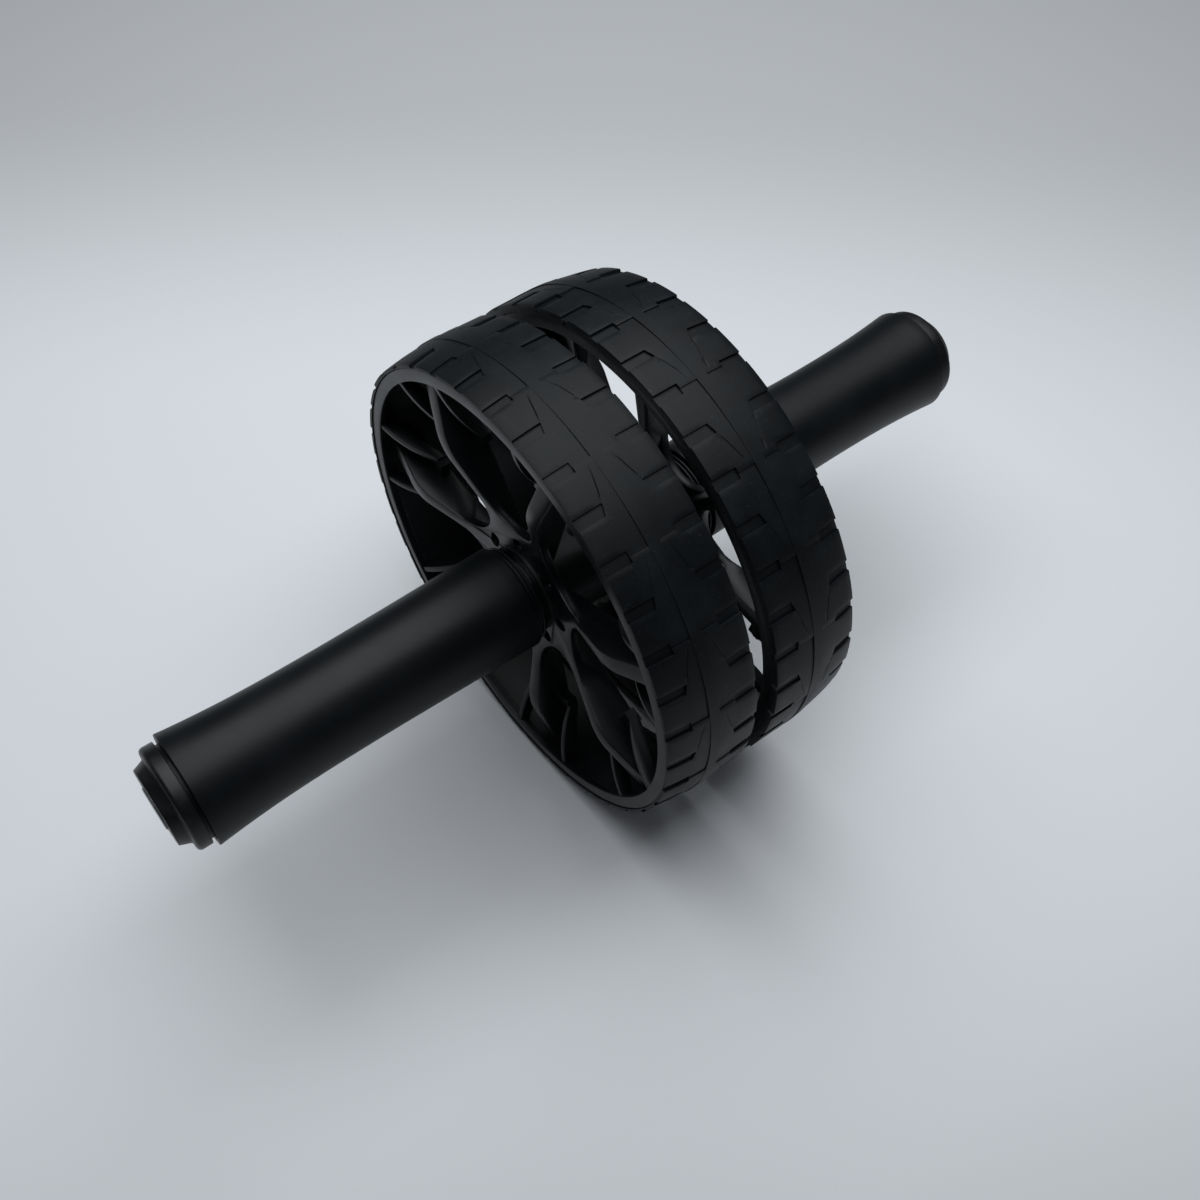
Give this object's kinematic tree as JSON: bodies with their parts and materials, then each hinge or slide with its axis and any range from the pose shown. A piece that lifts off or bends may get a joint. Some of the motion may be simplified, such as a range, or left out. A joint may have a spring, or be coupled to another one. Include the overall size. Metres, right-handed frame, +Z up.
{
  "type": "ab wheel roller",
  "caption": "Ab roller whose treaded spoked wheels turn freely side by side on a cross axle, with a soft sleeve grip and a screwed end cap on each side.",
  "frame": {"origin": "on the floor under the middle of the handlebar; the wheels stand 3.2 mm to its right", "axes": "+X along the axle towards the right grip, +Z up, +Y forward, the way the wheels roll"},
  "size_m": [0.3022, 0.16, 0.16],
  "materials": {
    "tyre_rubber": "moulded rubber, satin",
    "wheel_plastic": "moulded, fine satin",
    "grip_rubber": "smooth soft-touch, satin",
    "cap_plastic": "moulded, satin",
    "cover_plastic": "polished moulding",
    "bush_plastic": "black acetal",
    "tube_steel": "drawn tube, zinc plated",
    "plain_steel": "black oxide",
    "spring_steel": "black oxide"
  },
  "bodies": {
    "handlebar": {"axle_tube": "tube_steel", "hub_spacer": "wheel_plastic", "left_inner_washer": "plain_steel", "left_outer_washer": "plain_steel", "left_retaining_ring": "spring_steel", "left_grip": "grip_rubber", "left_end_cap": "cap_plastic", "left_end_insert": "plain_steel", "left_cap_screw": "plain_steel", "left_screw_cover": "cover_plastic", "right_inner_washer": "plain_steel", "right_outer_washer": "plain_steel", "right_retaining_ring": "spring_steel", "right_grip": "grip_rubber", "right_end_cap": "cap_plastic", "right_end_insert": "plain_steel", "right_cap_screw": "plain_steel", "right_screw_cover": "cover_plastic"},
    "left_wheel_set": {"left_tyre": "tyre_rubber", "left_wheel": "wheel_plastic", "left_inner_bush": "bush_plastic", "left_outer_bush": "bush_plastic"},
    "right_wheel_set": {"right_tyre": "tyre_rubber", "right_wheel": "wheel_plastic", "right_inner_bush": "bush_plastic", "right_outer_bush": "bush_plastic"}
  },
  "joints": [
    {"name": "left_wheel_spin", "type": "hinge", "parent": "handlebar", "child": "left_wheel_set", "pos_m": [0, 0, 0.08], "axis": [1, 0, 0], "continuous": true},
    {"name": "right_wheel_spin", "type": "hinge", "parent": "handlebar", "child": "right_wheel_set", "pos_m": [0, 0, 0.08], "axis": [1, 0, 0], "continuous": true}
  ]
}
